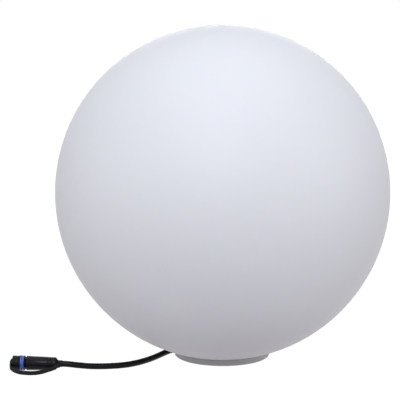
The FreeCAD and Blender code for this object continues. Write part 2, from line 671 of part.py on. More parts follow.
def terminal_block():
    """The two-pole terminal, with a wire entry and a screw hole for each pole."""
    place = on_driver_board(TERMINAL_PLACE)
    body = Part.makeBox(TERMINAL_SIZE.x, TERMINAL_SIZE.y, TERMINAL_SIZE.z, place)
    top = DRIVER_BOARD_TOP + TERMINAL_SIZE.z
    for side in pole_sides():
        entry = Part.makeCylinder(CORE_RADIUS + FIT, TERMINAL_ENTRY_DEPTH + OVERCUT + FIT,
                                  Vector(TERMINAL_PLACE.x - OVERCUT, side, core_height()),
                                  Vector(1, 0, 0))
        screw = disc(TERMINAL_SCREW_RADIUS + FIT, top - TERMINAL_SCREW_LENGTH, top + OVERCUT,
                     Vector(terminal_centre_x(), side, 0))
        body = body.cut(entry).cut(screw)
    return body


def terminal_screws():
    """The two clamping screws, flush with the block's top."""
    top = DRIVER_BOARD_TOP + TERMINAL_SIZE.z
    return [disc(TERMINAL_SCREW_RADIUS, top - TERMINAL_SCREW_LENGTH, top,
                 Vector(terminal_centre_x(), side, 0)) for side in pole_sides()]


def core_leads():
    """The two cores, from the lead's end up through the board and into the terminal."""
    cores = []
    for side in pole_sides():
        points = [
            Vector(0, side, CABLE_TAIL_TOP),
            Vector(0, side, core_height()),
            Vector(TERMINAL_PLACE.x + TERMINAL_ENTRY_DEPTH, side, core_height()),
        ]
        wire = rounded_wire(points, [CORE_BEND_RADIUS])
        cores.append(tube_along(wire, CORE_RADIUS))
    return cores


def driver_capacitors():
    """The upright capacitors."""
    return [disc(CAPACITOR_RADIUS, DRIVER_BOARD_TOP, DRIVER_BOARD_TOP + CAPACITOR_HEIGHT, place)
            for place in CAPACITOR_PLACES]


def driver_choke():
    """The wound choke, a bobbin with a narrower winding."""
    top = DRIVER_BOARD_TOP + CHOKE_HEIGHT
    bobbin = lathe((
        (0, DRIVER_BOARD_TOP),
        (CHOKE_RADIUS, DRIVER_BOARD_TOP),
        (CHOKE_RADIUS, DRIVER_BOARD_TOP + CHOKE_FLANGE),
        (CHOKE_WAIST_RADIUS, DRIVER_BOARD_TOP + CHOKE_FLANGE),
        (CHOKE_WAIST_RADIUS, top - CHOKE_FLANGE),
        (CHOKE_RADIUS, top - CHOKE_FLANGE),
        (CHOKE_RADIUS, top),
        (0, top),
    ))
    bobbin.translate(CHOKE_PLACE)
    return bobbin


def driver_chips():
    """The flat components of the driver."""
    return [block(size, on_driver_board(place)) for size, place in CHIP_SIZES_AND_PLACES]


# ================================================================ light source
def wire_places():
    """The two LED wires' places in plan."""
    return [Vector(-LED_WIRE_CIRCLE, side * LED_WIRE_PITCH / 2, 0) for side in (-1, 1)]


def led_plate():
    """The aluminium plate on the housing's ledge and posts."""
    return drilled(disc(PLATE_RADIUS, PLATE_BOTTOM, HOUSING_TOP))


def led_board():
    """The round LED board on the plate."""
    return drilled(disc(LED_BOARD_RADIUS, HOUSING_TOP, LED_BOARD_TOP))


def drilled(plate):
    """The plate with its holes for the screws and the two wires."""
    for hole in led_screw_holes():
        plate = plate.cut(hole)
    for place in wire_places():
        plate = plate.cut(disc(LED_WIRE_HOLE_RADIUS, PLATE_BOTTOM - OVERCUT,
                               LED_BOARD_TOP + OVERCUT, place))
    return plate


def led_chips():
    """The LEDs in a ring."""
    chips = []
    for angle in round_pattern(LED_COUNT):
        chip = block(LED_SIZE, Vector(LED_CIRCLE, 0, LED_BOARD_TOP))
        chips.append(turned(chip, angle))
    return chips


def led_screws():
    """The screws through board and plate into the posts."""
    return [pan_screw(polar(POST_CIRCLE, angle), LED_BOARD_TOP, LED_BOARD_TOP - LED_SCREW_LENGTH,
                      LED_SCREW_RADIUS, LED_SCREW_HEAD_RADIUS, LED_SCREW_HEAD_HEIGHT)
            for angle in round_pattern(POST_COUNT, POST_FIRST_ANGLE)]


def led_leads():
    """The two wires from the driver board to their pads on the LED board."""
    wires = []
    pad_height = LED_BOARD_TOP + LED_WIRE_RADIUS
    for place in wire_places():
        points = [
            Vector(place.x, place.y, DRIVER_BOARD_TOP),
            Vector(place.x, place.y, pad_height + LED_WIRE_RADIUS),
            Vector(place.x + LED_WIRE_PAD_LENGTH, place.y, pad_height),
        ]
        wires.append(tube_along(rounded_wire(points, [LED_WIRE_BEND_RADIUS]), LED_WIRE_RADIUS))
    return wires


def cover_seal():
    """The flat ring between the housing's flange and the cover."""
    seal = ring(HOUSING_RADIUS, FLANGE_RADIUS - COVER_SEAL_MARGIN, HOUSING_TOP, COVER_SEAL_TOP)
    for hole in cover_screw_holes():
        seal = seal.cut(hole)
    return seal


def diffuser_cover():
    """The frosted cover: a flange and a low dome with a bevelled shoulder."""
    inner = COVER_RADIUS - COVER_WALL
    cover = lathe((
        (inner, COVER_SEAL_TOP),
        (FLANGE_RADIUS, COVER_SEAL_TOP),
        (FLANGE_RADIUS, COVER_FLANGE_TOP),
        (COVER_RADIUS, COVER_FLANGE_TOP),
        (COVER_RADIUS, COVER_TOP, COVER_EDGE_BEVEL),
        (0, COVER_TOP),
        (0, COVER_TOP - COVER_WALL),
        (inner, COVER_TOP - COVER_WALL, COVER_EDGE_BEVEL - COVER_WALL / 2),
    ))
    for hole in cover_screw_holes():
        cover = cover.cut(hole)
    return cover


def cover_screws():
    """The screws round the cover's flange."""
    return [pan_screw(polar(COVER_SCREW_CIRCLE, angle), COVER_FLANGE_TOP,
                      HOUSING_TOP - COVER_SCREW_DEPTH, COVER_SCREW_RADIUS,
                      COVER_SCREW_HEAD_RADIUS, COVER_SCREW_HEAD_HEIGHT)
            for angle in round_pattern(COVER_SCREW_COUNT)]


# ================================================================ lead
def supply_cable():
    """The free lead, straight runs joined by tangent arcs, from the gland to the plug."""
    points = [Vector(0, 0, GLAND_EXIT_HEIGHT), Vector(0, 0, GLAND_EXIT_HEIGHT - CABLE_DROP)]
    points += [Vector(*place) for place in CABLE_ROUTE]
    points += [plug_point(-PLUG_RUN), PLUG_END]
    radii = []
    for before, corner, after in zip(points, points[1:], points[2:]):
        incoming = corner - before
        outgoing = after - corner
        shorter = min(incoming.Length, outgoing.Length)
        radii.append(ARC_SHARE * shorter / math.tan(incoming.getAngle(outgoing) / 2))
    wire = rounded_wire(points, radii)
    tube = tube_along(wire, CABLE_RADIUS)
    expected = math.pi * CABLE_RADIUS ** 2 * wire.Length
    print("lead length %.1f, volume %.1f, section x length %.1f"
          % (wire.Length, tube.Volume, expected))
    print("lead bend radii", ", ".join("%.1f" % radius for radius in radii))
    return tube


# ================================================================ plug
def on_plug(shape):
    """Lay a shape made along +Z down on the plug's axis."""
    laid = shape.copy()
    laid.rotate(ORIGIN, Vector(0, 1, 0), 90)
    laid.rotate(ORIGIN, UP, PLUG_HEADING)
    laid.translate(PLUG_END)
    return laid


def plug_radius_at(distance):
    """The plug body's radius along its slight taper."""
    share = (distance - PLUG_CONE_LENGTH) / (PLUG_LENGTH - PLUG_CONE_LENGTH)
    return PLUG_BACK_RADIUS + share * (PLUG_RADIUS - PLUG_BACK_RADIUS)


def plug_body():
    """The moulded plug: cone, tapered grip with two grooves, and the open nose."""
    outline = [(0, 0), (PLUG_CABLE_END_RADIUS, 0), (PLUG_BACK_RADIUS, PLUG_CONE_LENGTH)]
    for groove in GRIP_GROOVES:
        for edge, depth in ((-1, 0), (-1, 1), (1, 1), (1, 0)):
            distance = groove + edge * GRIP_GROOVE_WIDTH / 2
            outline.append((plug_radius_at(distance) - depth * GRIP_GROOVE_DEPTH, distance))
    outline += [
        (PLUG_RADIUS, PLUG_LENGTH - PLUG_FRONT_BEVEL),
        (PLUG_RADIUS - PLUG_FRONT_BEVEL, PLUG_LENGTH),
        (NOSE_RADIUS, PLUG_LENGTH),
        (NOSE_RADIUS, BEAD_START),
        (NOSE_RADIUS + BEAD_HEIGHT, BEAD_START),
        (NOSE_RADIUS, BEAD_START + BEAD_WIDTH),
        (NOSE_RADIUS, NOSE_SEAL_START),
        (NOSE_SEAL_FLOOR, NOSE_SEAL_START),
        (NOSE_SEAL_FLOOR, NOSE_SEAL_END),
        (NOSE_RADIUS, NOSE_SEAL_END),
        (NOSE_RADIUS, NOSE_END),
        (NOSE_BORE_RADIUS, NOSE_END),
        (NOSE_BORE_RADIUS, INSERT_START),
        (0, INSERT_START),
    ]
    return on_plug(lathe(outline))


def plug_insert():
    """The contact carrier in the nose."""
    carrier = disc(NOSE_BORE_RADIUS, INSERT_START, INSERT_END)
    for side in (-1, 1):
        place = Vector(0, side * PIN_PITCH / 2, 0)
        carrier = carrier.cut(disc(PIN_RADIUS, PIN_START, INSERT_END + OVERCUT, place))
    return on_plug(carrier)


def contact_pins():
    """The two pins, side by side."""
    return [on_plug(disc(PIN_RADIUS, PIN_START, PIN_END, Vector(0, side * PIN_PITCH / 2, 0)))
            for side in (-1, 1)]


def nose_seal():
    """The rubber ring in the nose's groove."""
    return on_plug(ring(NOSE_SEAL_FLOOR, NOSE_SEAL_RADIUS, NOSE_SEAL_START, NOSE_SEAL_END))


def coupling_ring():
    """The blue ring, held on the nose by the bead, with two bayonet slots in its front edge."""
    groove_middle = (RING_FLANGE_END + RING_END) / 2
    groove_start = groove_middle - RING_GROOVE_WIDTH / 2
    groove_end = groove_middle + RING_GROOVE_WIDTH / 2
    groove_floor = RING_RADIUS - RING_GROOVE_DEPTH
    bore = NOSE_RADIUS + RUNNING_FIT
    body = lathe((
        (bore, RING_START),
        (RING_BACK_RADIUS, RING_START),
        (RING_RADIUS, RING_FLANGE_END),
        (RING_RADIUS, groove_start),
        (groove_floor, groove_start),
        (groove_floor, groove_end),
        (RING_RADIUS, groove_end),
        (RING_RADIUS, RING_END),
        (RING_CAVITY_RADIUS, RING_END),
        (RING_CAVITY_RADIUS, RING_FLANGE_END),
        (bore, RING_FLANGE_END),
    ))
    for angle in round_pattern(RING_SLOT_COUNT):
        slot = block(Vector(RING_RADIUS, RING_SLOT_WIDTH, RING_SLOT_DEPTH + OVERCUT),
                     Vector(RING_RADIUS, 0, RING_END - RING_SLOT_DEPTH))
        body = body.cut(turned(slot, angle))
    return on_plug(body)


# ================================================================ dust cap and strap
def dust_cap():
    """The cap: a bore that grips the nose's seal, and a stub for the strap."""
    bore_end = CAP_END - CAP_END_WALL
    return on_plug(lathe((
        (CAP_BORE_RADIUS, CAP_START),
        (CAP_RADIUS, CAP_START, CAP_EDGE_BEVEL),
        (CAP_RADIUS, CAP_END, CAP_EDGE_BEVEL),
        (STUB_RADIUS, CAP_END),
        (STUB_RADIUS, CAP_END + STUB_LENGTH),
        (STUB_HEAD_RADIUS, CAP_END + STUB_LENGTH),
        (STUB_HEAD_RADIUS, CAP_END + STUB_LENGTH + STUB_HEAD_LENGTH),
        (0, CAP_END + STUB_LENGTH + STUB_HEAD_LENGTH),
        (0, bore_end),
        (CAP_BORE_RADIUS, bore_end),
    )))


def tether_collar():
    """The sleeve on the lead that holds the strap."""
    return on_plug(ring(CABLE_RADIUS + FIT, COLLAR_RADIUS, -COLLAR_LENGTH, 0))


def cap_tether():
    """The flat strap on edge: a loop on the ground from the cap's stub to the collar."""
    eye_middle = CAP_END + STUB_LENGTH / 2
    eye_start = eye_middle - STRAP_EYE_THICKNESS / 2
    eye = on_plug(ring(STUB_RADIUS + CAP_BORE_CLEARANCE, STRAP_EYE_RADIUS,
                       eye_start, eye_start + STRAP_EYE_THICKNESS))
    at_eye = plug_point(eye_middle, STRAP_EYE_RADIUS - STRAP_THICKNESS / 2)
    on_collar = COLLAR_RADIUS + STRAP_THICKNESS / 2 + STRAP_COLLAR_GAP
    points = [at_eye] + [Vector(*place) for place in STRAP_ROUTE_MIDDLE]
    drop = UP * STRAP_COLLAR_DROP
    points += [plug_point(0, on_collar + STRAP_COLLAR_LEAD_IN) - drop,
               plug_point(-COLLAR_LENGTH, on_collar) - drop]
    curve = Part.BSplineCurve()
    curve.interpolate(points)
    path = Part.Wire(curve.toShape())
    tangent = curve.tangent(curve.FirstParameter)[0]
    side = tangent.cross(UP).normalize()
    half_side = side * STRAP_THICKNESS / 2
    half_up = UP * STRAP_WIDTH / 2
    corners = [at_eye + half_side + half_up, at_eye - half_side + half_up,
               at_eye - half_side - half_up, at_eye + half_side - half_up]
    sweep = Part.BRepOffsetAPI.MakePipeShell(path)
    sweep.setBiNormalMode(UP)
    sweep.add(Part.makePolygon(corners + corners[:1]))
    sweep.build()
    sweep.makeSolid()
    return merged([eye, sweep.shape()])


def plug_point(distance, sideways=0.0):
    """A point at a distance along the plug's axis, and sideways from it towards the front."""
    heading = math.radians(PLUG_HEADING)
    along = Vector(math.cos(heading), math.sin(heading), 0)
    return PLUG_END + along * distance + UP.cross(along) * sideways


# ================================================================ output
SUBPARTS = (
    globe, globe_seal, base,
    driver_housing, housing_screws,
    gland_body, gland_gasket, gland_locknut, gland_seal, gland_nut, cable_tail,
    driver_board, terminal_block, terminal_screws, core_leads,
    driver_capacitors, driver_choke, driver_chips,
    led_plate, led_board, led_chips, led_screws, led_leads,
    cover_seal, diffuser_cover, cover_screws,
    supply_cable, plug_body, plug_insert, contact_pins, nose_seal, coupling_ring,
    dust_cap, cap_tether, tether_collar,
)


def main():
    """Write one STEP file for each sub-part."""
    os.makedirs(PARTS_FOLDER, exist_ok=True)
    for build in SUBPARTS:
        made = build()
        shape = Part.makeCompound(made) if isinstance(made, list) else made
        shape.exportStep(os.path.join(PARTS_FOLDER, build.__name__ + ".step"))
        print("%-18s %2d solid(s), volume %.1f, valid %s"
              % (build.__name__, len(shape.Solids), shape.Volume, shape.isValid()))


main()
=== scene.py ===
"""Looks of a garden globe light: a satin white ball on a foot ring, with a plug-in rubber lead.

Lengths are in metres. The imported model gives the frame; this script dresses its nodes and
remodels the pieces whose edges, colours and bends need more than the plain solids.
"""

import logging
import math
from abc import ABC, abstractmethod
from dataclasses import dataclass, field
from enum import Enum, IntEnum

import bmesh
import bpy
from mathutils import Euler, Matrix, Vector


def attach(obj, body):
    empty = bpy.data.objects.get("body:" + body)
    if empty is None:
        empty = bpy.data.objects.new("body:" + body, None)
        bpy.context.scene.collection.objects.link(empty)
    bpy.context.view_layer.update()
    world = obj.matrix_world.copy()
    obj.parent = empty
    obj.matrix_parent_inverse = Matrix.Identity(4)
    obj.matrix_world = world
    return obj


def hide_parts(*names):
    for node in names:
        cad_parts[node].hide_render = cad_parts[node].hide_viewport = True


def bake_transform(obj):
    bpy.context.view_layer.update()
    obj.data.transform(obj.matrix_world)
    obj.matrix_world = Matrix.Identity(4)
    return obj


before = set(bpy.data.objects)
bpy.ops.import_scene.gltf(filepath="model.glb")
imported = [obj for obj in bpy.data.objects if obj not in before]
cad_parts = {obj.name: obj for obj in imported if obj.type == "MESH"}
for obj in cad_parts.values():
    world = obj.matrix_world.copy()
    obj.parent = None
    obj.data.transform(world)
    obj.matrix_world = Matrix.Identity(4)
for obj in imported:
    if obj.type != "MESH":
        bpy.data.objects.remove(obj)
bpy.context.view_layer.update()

LOG = logging.getLogger("globe_light")
MM = 0.001
SHARP_ANGLE = math.radians(35)
SOFTEN_ANGLE = math.radians(25)
MERGE_DISTANCE = 1e-6

Triple = tuple[float, float, float]
Pair = tuple[float, float]


# ================================================================ shader maths
class Ray(Enum):
    """Kinds of light ray that a shader can tell apart, by the Light Path output's name."""

    CAMERA = "Is Camera Ray"
    MIRRORED = "Is Glossy Ray"
    TRANSMITTED = "Is Transmission Ray"


class MixSocket(IntEnum):
    """Sockets of the Mix node that belong to colours."""

    FACTOR = 0
    FIRST = 6
    SECOND = 7
    RESULT = 2


class Value:
    """A shader socket that can be written into sums and products."""

    def __init__(self, tree: "Tree", socket: bpy.types.NodeSocket) -> None:
        """Keep the socket and the tree that it belongs to."""
        self.tree = tree
        self.socket = socket

    def _math(self, operation: str, first: "Value | float", second: "Value | float") -> "Value":
        """Add one Math node.

        Args:
            operation: the Math node's operation.
            first: number or Value for its first socket.
            second: number or Value for its second socket.

        Returns:
            The node's result.
        """
        return self.tree.add("ShaderNodeMath", {"operation": operation}, {0: first, 1: second})

    def __add__(self, other: "Value | float") -> "Value":
        """Sum."""
        return self._math("ADD", self, other)

    __radd__ = __add__

    def __sub__(self, other: "Value | float") -> "Value":
        """Difference."""
        return self._math("SUBTRACT", self, other)

    def __rsub__(self, other: "Value | float") -> "Value":
        """Difference from a number."""
        return self._math("SUBTRACT", other, self)

    def __mul__(self, other: "Value | float") -> "Value":
        """Product."""
        return self._math("MULTIPLY", self, other)

    def clipped(self) -> "Value":
        """The value kept between 0 and 1."""
        return self.tree.add("ShaderNodeClamp", {}, {"Value": self})


class Tree:
    """A material's or the world's nodes, added by type, settings and inputs."""

    def __init__(self, owner: bpy.types.Material | bpy.types.World) -> None:
        """Start with an empty tree on a material or world."""
        owner.use_nodes = True
        self.nodes = owner.node_tree.nodes
        self.links = owner.node_tree.links
        self.nodes.clear()

    def add(self, kind: str, settings: dict[str, str], inputs: dict[str | int, object],
            output: str | int = 0) -> Value:
        """Add a node.

        Args:
            kind: the node's type.
            settings: its own settings, such as a Math node's operation.
            inputs: socket name or number to number, colour or Value.
            output: name or number of the output that is wanted.

        Returns:
            The wanted output.
        """
        node = self.nodes.new(kind)
        for name, setting in settings.items():
            setattr(node, name, setting)
        for name, given in inputs.items():
            if isinstance(given, Value):
                self.links.new(given.socket, node.inputs[name])
            else:
                node.inputs[name].default_value = given
        return Value(self, node.outputs[output])

    def ray(self, kind: Ray) -> Value:
        """1 for rays of a kind, else 0."""
        return self.add("ShaderNodeLightPath", {}, {}, kind.value)

    def seen(self) -> Value:
        """1 for rays that show a surface: straight, in a mirror or through glass."""
        straight = self.ray(Ray.CAMERA)
        return (straight + self.ray(Ray.MIRRORED) + self.ray(Ray.TRANSMITTED)).clipped()

    def shader_mix(self, factor: Value, first: Value, second: Value) -> Value:
        """A blend of two shaders.

        Args:
            factor: 0 for the first, 1 for the second.
            first: shader.
            second: shader.

        Returns:
            The blended shader.
        """
        return self.add("ShaderNodeMixShader", {}, {0: factor, 1: first, 2: second})

    def finish(self, surface: Value, kind: str = "ShaderNodeOutputMaterial") -> None:
        """Join a shader to the output.

        Args:
            surface: the shader.
            kind: the output node's type.
        """
        output = self.nodes.new(kind)
        self.links.new(surface.socket, output.inputs["Surface"])

    def place(self) -> Value:
        """Object coordinates, in metres."""
        return self.add("ShaderNodeTexCoord", {}, {}, "Object")

    def stretched(self, scale: Triple) -> Value:
        """Object coordinates scaled along the axes.

        Args:
            scale: factors along X, Y and Z.

        Returns:
            The scaled vector.
        """
        return self.add("ShaderNodeMapping", {}, {"Vector": self.place(), "Scale": scale})

    def noise(self, scale: float, detail: float, vector: Value | None = None) -> Value:
        """A noise between 0 and 1.

        Args:
            scale: waves per metre.
            detail: octaves.
            vector: coordinates, object coordinates if none are given.

        Returns:
            The noise's factor.
        """
        where = vector or self.place()
        return self.add("ShaderNodeTexNoise", {},
                        {"Vector": where, "Scale": scale, "Detail": detail}, "Fac")

    def mixed(self, factor: Value, first: Value | tuple, second: Value | tuple) -> Value:
        """A blend of two colours.

        Args:
            factor: 0 for the first, 1 for the second.
            first: colour or Value.
            second: colour or Value.

        Returns:
            The blended colour.
        """
        inputs = {MixSocket.FACTOR: factor, MixSocket.FIRST: first, MixSocket.SECOND: second}
        return self.add("ShaderNodeMix", {"data_type": "RGBA"}, inputs, MixSocket.RESULT)

    def bump(self, height: Value, depth: float) -> Value:
        """A bumped normal.

        Args:
            height: the height's pattern, from 0 to 1.
            depth: the pattern's depth in metres.

        Returns:
            The normal.
        """
        return self.add("ShaderNodeBump", {}, {"Height": height, "Strength": 1.0,
                                               "Distance": depth})


def rgb(colour: Triple, share: float = 1.0) -> tuple[float, float, float, float]:
    """A colour with alpha, darkened or lightened by a share."""
    return (colour[0] * share, colour[1] * share, colour[2] * share, 1.0)


# ================================================================ finishes
@dataclass(frozen=True)
class Finish:
    """A surface: its colour, its gloss, and the noise that breaks both up.

    The grain is the fine relief of the mould, and the patches are slow changes of colour.
    """

    name: str
    colour: Triple
    roughness: float
    metallic: float = 0.0
    patch_scale: float = 18.0
    patch_detail: float = 4.0
    patch_share: float = 0.94
    grain_scale: float = 2500.0
    grain_detail: float = 2.0
    grain_depth: float = 0.00002
    gloss_change: float = 0.10
    coat: float = 0.0
    scatter: float = 0.0
    scatter_scale: float = 0.004
    specular: float = 0.5

    def build(self) -> bpy.types.Material:
        """Make the material.

        Returns:
            The material, ready to be put on an object.
        """
        material = bpy.data.materials.new(self.name)
        tree = Tree(material)
        patches = tree.noise(self.patch_scale, self.patch_detail)
        grain = self.relief(tree)
        roughness = (self.roughness + (patches - 0.5) * self.gloss_change
                     + (grain - 0.5) * self.gloss_change).clipped()
        inputs = {
            "Base Color": self.shade(tree, patches),
            "Roughness": roughness,
            "Metallic": self.metallic,
            "Specular IOR Level": self.specular,
            "Coat Weight": self.coat,
            "Subsurface Weight": self.scatter,
            "Subsurface Scale": self.scatter_scale,
            "Normal": tree.bump(grain, self.grain_depth),
        }
        tree.finish(tree.add("ShaderNodeBsdfPrincipled", {}, inputs))
        return material

    def shade(self, tree: Tree, patches: Value) -> Value:
        """The colour, a little darker in patches.

        Args:
            tree: the material's tree.
            patches: the slow noise.

        Returns:
            The colour.
        """
        return tree.mixed(patches, rgb(self.colour), rgb(self.colour, self.patch_share))

    def relief(self, tree: Tree) -> Value:
        """The fine relief, from 0 to 1."""
        return tree.noise(self.grain_scale, self.grain_detail)


@dataclass(frozen=True)
class Brushed(Finish):
    """Metal with fine lines along X."""

    stretch: Triple = (0.05, 1.0, 1.0)

    def relief(self, tree: Tree) -> Value:
        """Lines drawn out along X."""
        return tree.noise(self.grain_scale, self.grain_detail, tree.stretched(self.stretch))


@dataclass(frozen=True)
class Laminate(Finish):
    """A circuit board: solder mask with the conductors showing through."""

    track: Triple = (0.10, 0.34, 0.16)
    track_scale: float = 240.0
    track_from: float = 0.42

    def shade(self, tree: Tree, patches: Value) -> Value:
        """Solder mask with lighter conductors.

        Args:
            tree: the material's tree.
            patches: the slow noise.

        Returns:
            The colour.
        """
        cells = tree.add("ShaderNodeTexVoronoi",
                         {"distance": "CHEBYCHEV", "feature": "F1"},
                         {"Vector": tree.place(), "Scale": self.track_scale}, "Distance")
        conductor = tree.add("ShaderNodeMath", {"operation": "GREATER_THAN"},
                             {0: cells, 1: self.track_from})
        return tree.mixed(conductor, super().shade(tree, patches), rgb(self.track))


@dataclass(frozen=True)
class Wound(Finish):
    """Enamelled wire in level turns."""

    half_turn: float = 0.0006

    def relief(self, tree: Tree) -> Value:
        """One wave for each turn of wire, up the Z axis."""
        return tree.add("ShaderNodeTexWave",
                        {"wave_type": "BANDS", "bands_direction": "Z"},
                        {"Vector": tree.place(), "Scale": 0.5 / self.half_turn / math.pi}, "Fac")


GLOBE_WHITE = Finish("globe_satin_white", (0.872, 0.874, 0.905), 0.55, patch_scale=6.0,
                     patch_share=0.985, grain_scale=1800.0, grain_depth=0.000015, scatter=0.08)
# painted shade: the foot's white plastic is set to mid grey, darkened as it looks in shade under
# the globe
FOOT_WHITE_PAINTED_SHADE = Finish("foot_white_painted_shade", (0.55, 0.54, 0.55), 0.45, patch_share=0.96,
                    grain_depth=0.00003)
LEAD_BLACK = Finish("lead_rubber", (0.003, 0.004, 0.005), 0.36, patch_scale=60.0,
                    patch_share=0.7, grain_scale=3500.0, grain_depth=0.00002, specular=0.12)
PLUG_BLACK = Finish("plug_moulding", (0.006, 0.005, 0.009), 0.27, patch_scale=90.0,
                    patch_share=0.75, grain_scale=4200.0, grain_depth=0.00002, specular=0.13)
CAP_BLACK = Finish("cap_rubber", (0.003, 0.005, 0.006), 0.34, patch_scale=90.0,
                   patch_share=0.75, grain_scale=4200.0, grain_depth=0.00002, specular=0.12)
STRAP_BLACK = Finish("strap_rubber", (0.007, 0.008, 0.009), 0.28, patch_scale=80.0,
                     patch_share=0.8, grain_scale=3800.0, grain_depth=0.00002, specular=0.17)
RING_BLUE = Finish("ring_blue", (0.085, 0.160, 0.470), 0.34, patch_scale=70.0,
                   patch_share=0.85, grain_scale=3000.0, grain_depth=0.00002, specular=0.3)
# painted shade: navy stands in for the shadow on the ring's cone, lip and bore
RING_NAVY_PAINTED_SHADE = Finish("ring_navy_painted_shade", (0.003, 0.012, 0.050), 0.40, patch_scale=70.0,
                   patch_share=0.85, grain_scale=3000.0, grain_depth=0.00002, specular=0.15)
SEAL_GREY = Finish("seal_rubber", (0.045, 0.045, 0.048), 0.60, grain_depth=0.00003)
HOUSING_GREY = Finish("housing_grey", (0.55, 0.56, 0.58), 0.50, grain_depth=0.00004)
GLAND_BLACK = Finish("gland_black", (0.035, 0.035, 0.038), 0.45, grain_depth=0.00004)
COVER_OPAL = Finish("cover_opal", (0.86, 0.86, 0.86), 0.50, patch_share=0.97, scatter=0.1)
COMPONENT_BLACK = Finish("component_black", (0.025, 0.025, 0.028), 0.50, patch_scale=120.0)
SLEEVE_DARK = Finish("capacitor_sleeve", (0.035, 0.045, 0.11), 0.28, patch_scale=120.0,
                     coat=0.2)
TERMINAL_GREEN = Finish("terminal_green", (0.05, 0.26, 0.10), 0.42, patch_scale=120.0)
CORE_RED = Finish("core_insulation", (0.42, 0.04, 0.03), 0.40, patch_scale=150.0)
LED_YELLOW = Finish("led_phosphor", (0.86, 0.66, 0.14), 0.35, patch_scale=900.0)
SCREW_STEEL = Brushed("screw_steel", (0.56, 0.56, 0.58), 0.32, metallic=1.0,
                      grain_scale=5000.0, grain_depth=0.00001)
PIN_BRASS = Brushed("pin_brass", (0.74, 0.55, 0.24), 0.28, metallic=1.0, grain_scale=5000.0,
                    grain_depth=0.00001)
PLATE_ALUMINIUM = Brushed("plate_aluminium", (0.76, 0.77, 0.79), 0.36, metallic=1.0,
                          grain_scale=3000.0, grain_depth=0.00001)
BOARD_GREEN = Laminate("board_green", (0.03, 0.16, 0.06), 0.38, grain_depth=0.00001)
BOARD_WHITE = Laminate("board_white", (0.80, 0.80, 0.79), 0.42, grain_depth=0.00001,
                       track=(0.70, 0.70, 0.68))
CHOKE_COPPER = Wound("choke_winding", (0.46, 0.20, 0.07), 0.34, patch_scale=200.0,
                     grain_depth=0.0002)

NODE_FINISHES = {
    "globe": GLOBE_WHITE, "globe_seal": SEAL_GREY, "base": FOOT_WHITE_PAINTED_SHADE,
    "driver_housing": HOUSING_GREY, "housing_screws": SCREW_STEEL,
    "gland_body": GLAND_BLACK, "gland_gasket": SEAL_GREY, "gland_locknut": GLAND_BLACK,
    "gland_seal": SEAL_GREY, "gland_nut": GLAND_BLACK, "cable_tail": LEAD_BLACK,
    "driver_board": BOARD_GREEN, "terminal_block": TERMINAL_GREEN,
    "terminal_screws": SCREW_STEEL, "core_leads": CORE_RED,
    "driver_capacitors": SLEEVE_DARK, "driver_choke": CHOKE_COPPER,
    "driver_chips": COMPONENT_BLACK, "led_plate": PLATE_ALUMINIUM, "led_board": BOARD_WHITE,
    "led_chips": LED_YELLOW, "led_screws": SCREW_STEEL, "led_leads": CORE_RED,
    "cover_seal": SEAL_GREY, "diffuser_cover": COVER_OPAL, "cover_screws": SCREW_STEEL,
    "supply_cable": LEAD_BLACK, "plug_body": PLUG_BLACK, "plug_insert": COMPONENT_BLACK,
    "contact_pins": PIN_BRASS, "nose_seal": SEAL_GREY, "coupling_ring": RING_BLUE,
    "dust_cap": CAP_BLACK, "cap_tether": STRAP_BLACK, "tether_collar": CAP_BLACK,
}


class FinishShelf:
    """Materials by finish, each made once."""

    def __init__(self) -> None:
        """Start with no material made."""
        self.made: dict[str, bpy.types.Material] = {}

    def material(self, finish: Finish) -> bpy.types.Material:
        """The material of a finish.

        Args:
            finish: the finish.

        Returns:
            Its material.
        """
        if finish.name not in self.made:
            self.made[finish.name] = finish.build()
        return self.made[finish.name]

    def dress(self, piece: bpy.types.Object, finish: Finish) -> None:
        """Put a finish on every slot of a piece.

        Args:
            piece: the object.
            finish: its finish.
        """
        material = self.material(finish)
        if not piece.material_slots:
            piece.data.materials.append(material)
        for slot in piece.material_slots:
            slot.material = material


SHELF = FinishShelf()


# ================================================================ mesh helpers
def linked(name: str, content: bpy.types.ID) -> bpy.types.Object:
    """Put a mesh, curve, light or camera into the scene.

    Args:
        name: the object's name.
        content: the mesh, curve, light or camera.

    Returns:
        The object that holds it.
    """
    holder = bpy.data.objects.new(name, content)
    bpy.context.scene.collection.objects.link(holder)
    return holder


def finished(name: str, mesh_builder: bmesh.types.BMesh,
             place: Matrix = Matrix()) -> bpy.types.Object:
    """Turn a bmesh into an object at the origin, with its place in its mesh.

    Args:
        name: the piece's name.
        mesh_builder: the bmesh, which is freed.
        place: where the mesh is put.

    Returns:
        The object.
    """
    bmesh.ops.transform(mesh_builder, matrix=place, verts=mesh_builder.verts)
    mesh = bpy.data.meshes.new(name)
    mesh_builder.to_mesh(mesh)
    mesh_builder.free()
    mesh.shade_smooth()
    mesh.set_sharp_from_angle(angle=SHARP_ANGLE)
    return linked(name, mesh)


def lathed(outline: list[Pair], steps: int = 96) -> bmesh.types.BMesh:
    """Spin a closed outline about the Z axis.

    Args:
        outline: corners as (radius, height).
        steps: faces round the axis.

    Returns:
        The closed bmesh, faces outwards.
    """
    builder = bmesh.new()
    verts = [builder.verts.new((radius, 0.0, height)) for radius, height in outline]
    edges = [builder.edges.new((first, second))
             for first, second in zip(verts, verts[1:] + verts[:1])
             if not (first.co.x == 0.0 and second.co.x == 0.0)]
    bmesh.ops.spin(builder, geom=verts + edges, cent=(0, 0, 0), axis=(0, 0, 1),
                   angle=2 * math.pi, steps=steps, use_merge=True)
    bmesh.ops.remove_doubles(builder, verts=builder.verts, dist=MERGE_DISTANCE)
    bmesh.ops.recalc_face_normals(builder, faces=builder.faces)
    return builder


